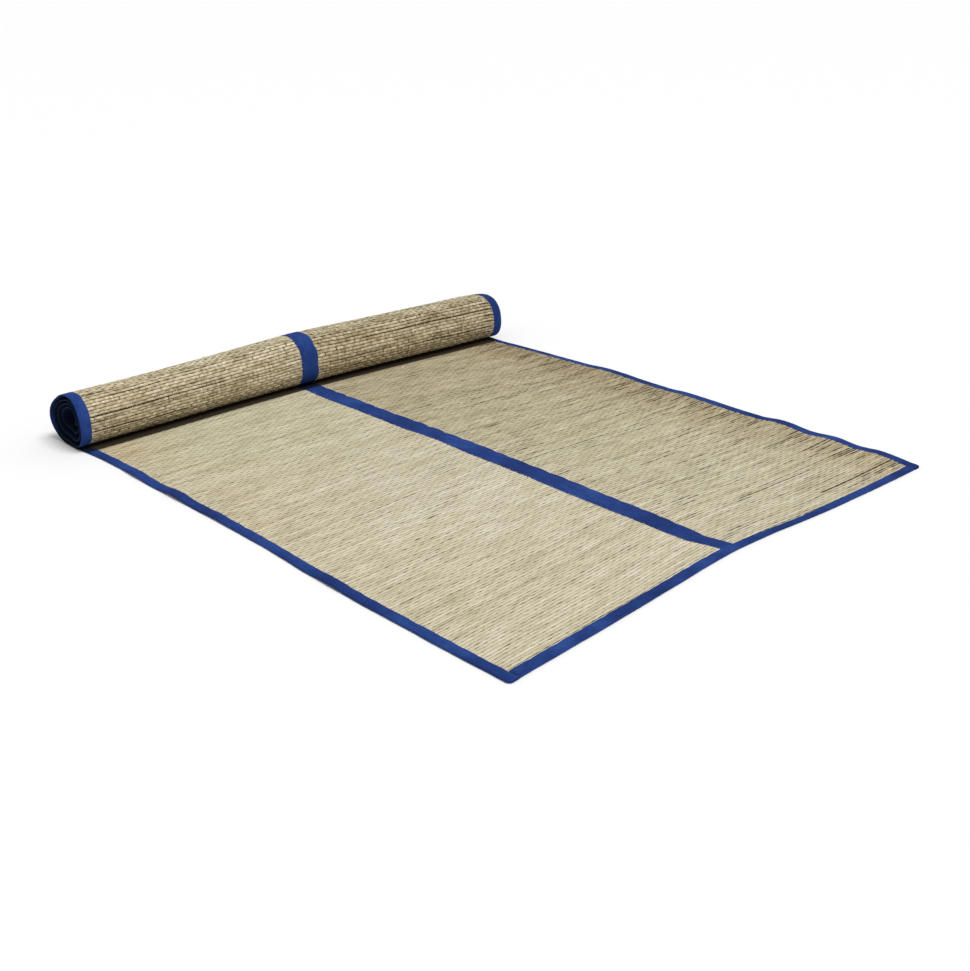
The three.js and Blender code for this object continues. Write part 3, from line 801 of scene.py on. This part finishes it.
def centre_strip(face, name):
    """One strip of the centre tape; face is +1 on the upper face, -1 below."""
    rng = np.random.default_rng(53 if face > 0 else 59)
    low, high = 10.0, MAT_LENGTH - 14.3
    s = tape_rows(low=low, high=high)
    sec = np.array(STRIP_SECTION)
    half, mid = tape_half(s)[:, None], tape_middle(s)[:, None]
    left = ripple_noise(rng, 1, s[None, :], [(150, 0.35), (40, 0.18), (14, 0.10)])[0][:, None]
    left = left + scallops(rng, s, 40, 90, 0.5)[:, None]
    right = scallops(rng, s, 26, 54, 3.2)[:, None] + ripple_noise(rng, 1, s[None, :], [(150, 0.3), (15, 0.15)])[0][:, None]
    pucker = ripple_noise(rng, 1, s[None, :], [(44, 0.09), (19, 0.08), (9, 0.05)])[0][:, None]
    inward = sec[:, 1][None, :] * -np.sign(sec[:, 0])[None, :]
    x = mid + sec[:, 0][None, :] * half + inward
    x = x - left * np.clip(-sec[:, 0], 0, 1)[None, :] + right * np.clip(sec[:, 0], 0, 1)[None, :]
    h = sec[:, 2][None, :] + pucker * (sec[:, 2] > 1.3)[None, :] * (1.2 - np.abs(sec[:, 0]))[None, :]
    # Where it runs under the front binding it lies lower.
    h = h - 0.85 * (1 - step(s, front_width(0.0) - 1.5, front_width(0.0) + 3))[:, None]
    S = np.broadcast_to(s[:, None], x.shape)
    points = place(S, x, face * h).reshape(-1, 3)
    uv = np.stack([x, S], -1).reshape(-1, 2)
    flat_section = np.stack([sec[:, 0] * 17 + inward[0], sec[:, 2]], -1)
    faces = swept_faces(points, len(s), len(sec), flat_section)
    tone = np.zeros(x.shape + (4,))
    tone[..., 0] = (0.5 + ripple_noise(rng, 1, s[None, :], [(260, 0.25), (90, 0.15)])[0])[:, None]
    tone[..., 2] = tape_shade(S, x, np.full(x.shape, float(face)))
    piece = make(name, points, faces, uv, tone.reshape(-1, 4), tape_look, ["centre_tape"])
    rows = [
        (low + 8, high, lambda t, side=side: (t, tape_middle(t) + side * (tape_half(t) - 2.8), 1.42, float(face)), True)
        for side in (-1, 1)
    ]
    stitches(rng, name.replace("tape", "stitches"), "centre_tape", rows)
    return piece


# ---- looks --------------------------------------------------------------
class Nodes:
    """Short calls for building a node material."""

    def __init__(self, name):
        self.material = bpy.data.materials.new(name)
        self.material.use_nodes = True
        self.tree = self.material.node_tree
        self.tree.nodes.clear()
        self.out = self.tree.nodes.new("ShaderNodeOutputMaterial")
        self.shader = self.tree.nodes.new("ShaderNodeBsdfPrincipled")
        self.join(self.shader.outputs[0], self.out.inputs[0])

    def join(self, a, b):
        self.tree.links.new(a, b)

    def put(self, socket, value):
        if isinstance(value, bpy.types.NodeSocket):
            self.join(value, socket)
        else:
            socket.default_value = value

    def add(self, kind, **values):
        node = self.tree.nodes.new(kind)
        for key, value in values.items():
            setattr(node, key, value)
        return node

    def math(self, op, a, b=None, c=None, clamp=False):
        node = self.add("ShaderNodeMath", operation=op, use_clamp=clamp)
        self.put(node.inputs[0], a)
        if b is not None:
            self.put(node.inputs[1], b)
        if c is not None:
            self.put(node.inputs[2], c)
        return node.outputs[0]

    def mix(self, amount, a, b, blend="MIX"):
        node = self.add("ShaderNodeMix", data_type="RGBA", blend_type=blend)
        self.put(node.inputs[0], amount)
        self.put(node.inputs[6], a if isinstance(a, bpy.types.NodeSocket) else (*a, 1.0))
        self.put(node.inputs[7], b if isinstance(b, bpy.types.NodeSocket) else (*b, 1.0))
        return node.outputs[2]

    def cloth_place(self):
        node = self.add("ShaderNodeUVMap", uv_map="UVMap")
        parts = self.add("ShaderNodeSeparateXYZ")
        self.join(node.outputs[0], parts.inputs[0])
        return parts.outputs[0], parts.outputs[1]

    def tone(self):
        node = self.add("ShaderNodeAttribute", attribute_name="tone", attribute_type="GEOMETRY")
        parts = self.add("ShaderNodeSeparateColor")
        self.join(node.outputs["Color"], parts.inputs[0])
        return parts.outputs[0], parts.outputs[1], parts.outputs[2], node.outputs["Alpha"]

    def noise(self, x, y, scale_x, scale_y, detail=2.0, rough=0.5, third=0.0):
        place_ = self.add("ShaderNodeCombineXYZ")
        self.put(place_.inputs[0], self.math("MULTIPLY", x, scale_x))
        self.put(place_.inputs[1], self.math("MULTIPLY", y, scale_y))
        self.put(place_.inputs[2], third)
        node = self.add("ShaderNodeTexNoise", noise_dimensions="3D")
        self.join(place_.outputs[0], node.inputs["Vector"])
        node.inputs["Scale"].default_value = 1.0
        node.inputs["Detail"].default_value = detail
        node.inputs["Roughness"].default_value = rough
        return node.outputs[0]

    def ramp(self, value, stops):
        node = self.add("ShaderNodeValToRGB")
        elements = node.color_ramp.elements
        while len(elements) < len(stops):
            elements.new(0.5)
        for element, (at, colour) in zip(elements, stops):
            element.position = at
            element.color = (*colour, 1.0)
        self.put(node.inputs[0], value)
        return node.outputs[0]

    def map(self, value, a, b, c, d):
        node = self.add("ShaderNodeMapRange", clamp=True)
        self.put(node.inputs[0], value)
        for i, v in enumerate((a, b, c, d)):
            self.put(node.inputs[i + 1], v)
        return node.outputs[0]

    def bump(self, height, strength, distance):
        node = self.add("ShaderNodeBump")
        node.inputs["Strength"].default_value = strength
        node.inputs["Distance"].default_value = distance
        self.put(node.inputs["Height"], height)
        self.join(node.outputs[0], self.shader.inputs["Normal"])

    def finish(self, colour, roughness, specular=0.3):
        self.put(self.shader.inputs["Base Color"], colour)
        self.shader.inputs["Roughness"].default_value = roughness
        self.shader.inputs["Specular IOR Level"].default_value = specular
        return self.material


def srgb(r, g, b):
    return tuple((c / 255 / 12.92) if c / 255 <= 0.04045 else ((c / 255 + 0.055) / 1.055) ** 2.4 for c in (r, g, b))


# Painted shade: straw and cloth are darkened towards these colours by the shade in the tone attribute.
PAINTED_SHADE_STRAW, PAINTED_SHADE_CLOTH = srgb(36, 25, 13), srgb(9, 20, 34)


def straw_material():
    n = Nodes("straw")
    x, s = n.cloth_place()
    light, brown, shade, green = n.tone()
    # x and s are in metres. Streaks run along the stems, across the mat.
    streak = n.noise(x, s, 9.0, 420.0, 3.0, 0.6)
    fibre = n.noise(x, s, 30.0, 3600.0, 2.0, 0.5, 9.0)
    grain = n.noise(x, s, 330.0, 420.0, 2.0, 0.6, 4.0)
    stem = n.noise(x, s, 16.0, 1100.0, 2.0, 0.5, 31.0)
    value = n.math("MULTIPLY_ADD", n.math("SUBTRACT", streak, 0.5), 0.26, light)
    value = n.math("MULTIPLY_ADD", n.math("SUBTRACT", stem, 0.5), 0.34, value)
    value = n.math("MULTIPLY_ADD", n.math("SUBTRACT", fibre, 0.5), 0.18, value)
    value = n.math("MULTIPLY_ADD", n.math("SUBTRACT", grain, 0.5), 0.46, value)
    colour = n.ramp(value, [
        (0.0, srgb(92, 80, 54)), (0.28, srgb(150, 139, 111)), (0.5, srgb(190, 182, 156)),
        (0.68, srgb(213, 207, 186)), (0.9, srgb(238, 234, 220)),
    ])
    colour = n.mix(n.math("MULTIPLY", brown, 1.0, clamp=True), colour, (1.0, 0.87, 0.73), "MULTIPLY")
    colour = n.mix(n.math("MULTIPLY", green, 1.0, clamp=True), colour, (0.92, 0.99, 0.88), "MULTIPLY")
    pink = n.noise(x, s, 14.0, 150.0, 2.0, 0.5, 21.0)
    colour = n.mix(n.map(pink, 0.60, 0.74, 0.0, 0.30), colour, (1.0, 0.84, 0.78), "MULTIPLY")
    colour = n.mix(shade, colour, PAINTED_SHADE_STRAW)
    n.bump(n.math("ADD", fibre, n.math("MULTIPLY", grain, 0.5)), 0.4, 0.00025)
    return n.finish(colour, 0.66, 0.22)


def thread_material():
    n = Nodes("warp_thread")
    x, s = n.cloth_place()
    light, brown, shade, green = n.tone()
    twist = n.noise(x, s, 2000.0, 900.0, 2.0)
    value = n.math("MULTIPLY_ADD", n.math("SUBTRACT", twist, 0.5), 0.4, light)
    colour = n.ramp(value, [(0.2, srgb(138, 126, 94)), (0.5, srgb(200, 191, 162)), (0.8, srgb(228, 222, 202))])
    colour = n.mix(n.math("MULTIPLY", brown, 0.8, clamp=True), colour, (1.0, 0.86, 0.76), "MULTIPLY")
    return n.finish(n.mix(shade, colour, PAINTED_SHADE_STRAW), 0.8, 0.2)


def end_material():
    n = Nodes("stem_ends")
    x, s = n.cloth_place()
    light, hue, shade, _ = n.tone()
    colour = n.mix(light, srgb(168, 150, 122), srgb(240, 234, 224))
    colour = n.mix(n.map(hue, 0.6, 0.9, 0.0, 0.8), colour, srgb(226, 186, 176))
    return n.finish(n.mix(shade, colour, PAINTED_SHADE_STRAW), 0.75, 0.2)


# Painted shade: the colour of the dark sheet seen between the stems.
def shade_sheet_material():
    n = Nodes("straw_shade_sheet")
    x, s = n.cloth_place()
    fleck = n.noise(x, s, 40.0, 900.0, 2.0)
    return n.finish(n.mix(fleck, srgb(40, 28, 14), srgb(70, 52, 28)), 0.9, 0.05)


def tape_material():
    n = Nodes("blue_cotton_tape")
    x, s = n.cloth_place()
    light, _, shade, _ = n.tone()
    cloud = n.noise(x, s, 60.0, 30.0, 3.0, 0.6)
    wear = n.noise(x, s, 260.0, 110.0, 2.0, 0.6, 5.0)
    value = n.math("MULTIPLY_ADD", n.math("SUBTRACT", cloud, 0.5), 0.7, n.math("MULTIPLY_ADD", light, 0.5, 0.25))
    value = n.math("MULTIPLY_ADD", n.math("SUBTRACT", wear, 0.5), 0.5, value)
    colour = n.ramp(value, [(0.15, srgb(22, 42, 94)), (0.5, srgb(32, 57, 118)), (0.85, srgb(44, 74, 140))])
    colour = n.mix(shade, colour, PAINTED_SHADE_CLOTH)
    across = n.add("ShaderNodeMath", operation="SINE")
    n.put(across.inputs[0], n.math("MULTIPLY", x, 2 * math.pi / 0.0009))
    along = n.add("ShaderNodeMath", operation="SINE")
    n.put(along.inputs[0], n.math("MULTIPLY", s, 2 * math.pi / 0.0009))
    weave = n.math("MULTIPLY", across.outputs[0], along.outputs[0])
    n.bump(n.math("MULTIPLY_ADD", weave, 0.35, n.math("MULTIPLY", wear, 0.8)), 0.35, 0.0003)
    return n.finish(colour, 0.9, 0.12)


def stitch_material():
    n = Nodes("blue_sewing_thread")
    x, s = n.cloth_place()
    light, _, shade, _ = n.tone()
    colour = n.mix(light, srgb(20, 38, 92), srgb(40, 66, 136))
    return n.finish(n.mix(shade, colour, PAINTED_SHADE_CLOTH), 0.7, 0.25)


straw_look, thread_look, shade_sheet_look = straw_material(), thread_material(), shade_sheet_material()
tape_look, stitch_look, end_look = tape_material(), stitch_material(), end_material()


# ---- floor, light, camera -----------------------------------------------
def floor():
    mesh = bpy.data.meshes.new("floor")
    r = 30.0
    mesh.from_pydata([(-r, -r, -0.0005), (r, -r, -0.0005), (r, r, -0.0005), (-r, r, -0.0005)], [], [(0, 1, 2, 3)])
    piece = bpy.data.objects.new("floor", mesh)
    bpy.context.scene.collection.objects.link(piece)
    n = Nodes("pale_floor")
    mesh.materials.append(n.finish((0.90, 0.90, 0.90, 1.0), 0.8, 0.1))
    piece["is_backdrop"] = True
    return piece


def light(name, towards, strength, spread):
    lamp = bpy.data.lights.new(name, "SUN")
    lamp.energy, lamp.angle = strength, math.radians(spread)
    piece = bpy.data.objects.new(name, lamp)
    piece.location = -2 * Vector(towards)
    piece.rotation_euler = Vector(towards).to_track_quat("-Z", "Y").to_euler()
    bpy.context.scene.collection.objects.link(piece)
    return piece


def camera():
    lens = bpy.data.cameras.new("camera")
    lens.sensor_fit, lens.sensor_width = "AUTO", 36.0
    lens.lens = 1369.4 / 971.0 * 36.0
    lens.clip_start, lens.clip_end = 0.05, 100.0
    piece = bpy.data.objects.new("camera", lens)
    azimuth, down, roll = 0.748640309, 0.396846795, 0.00306187318
    look = Vector((math.sin(azimuth) * math.cos(down), math.cos(azimuth) * math.cos(down), -math.sin(down)))
    right = look.cross(Vector((0, 0, 1))).normalized()
    below = look.cross(right)
    c, s = math.cos(roll), math.sin(roll)
    image_x = right * c + below * s
    image_y = below * c - right * s
    basis = Matrix((image_x, -image_y, -look)).transposed()
    piece.matrix_world = Matrix.Translation((-1.34827950 + ORIGIN[0] / 1000, -1.93566123 + ORIGIN[1] / 1000, 0.776819172)) @ basis.to_4x4()
    bpy.context.scene.collection.objects.link(piece)
    bpy.context.scene.camera = piece


floor()
straw(-1, "straw_left", "straw_panel_left")
straw(1, "straw_right", "straw_panel_right")
edge_binding(-1, "binding_left_cloth")
edge_binding(1, "binding_right_cloth")
end_binding(0.0, 1, "binding_front_cloth")
end_binding(MAT_LENGTH, -1, "binding_inner_cloth")
centre_strip(1, "centre_tape_face")
centre_strip(-1, "centre_tape_back")

world = bpy.data.worlds.new("studio")
world.use_nodes = True
world.node_tree.nodes["Background"].inputs[0].default_value = (1.0, 1.0, 1.0, 1.0)
world.node_tree.nodes["Background"].inputs[1].default_value = 0.5
bpy.context.scene.world = world
light("overhead", (-0.12, 0.42, -1.0), 2.15, 30.0)
bpy.context.scene.view_settings.view_transform = "Standard"
camera()

total = 0
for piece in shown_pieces():
    if piece.type == "MESH":
        piece.data.calc_loop_triangles()
        count = len(piece.data.loop_triangles)
        total += count
        print(piece.name, count)
print("triangles", total)
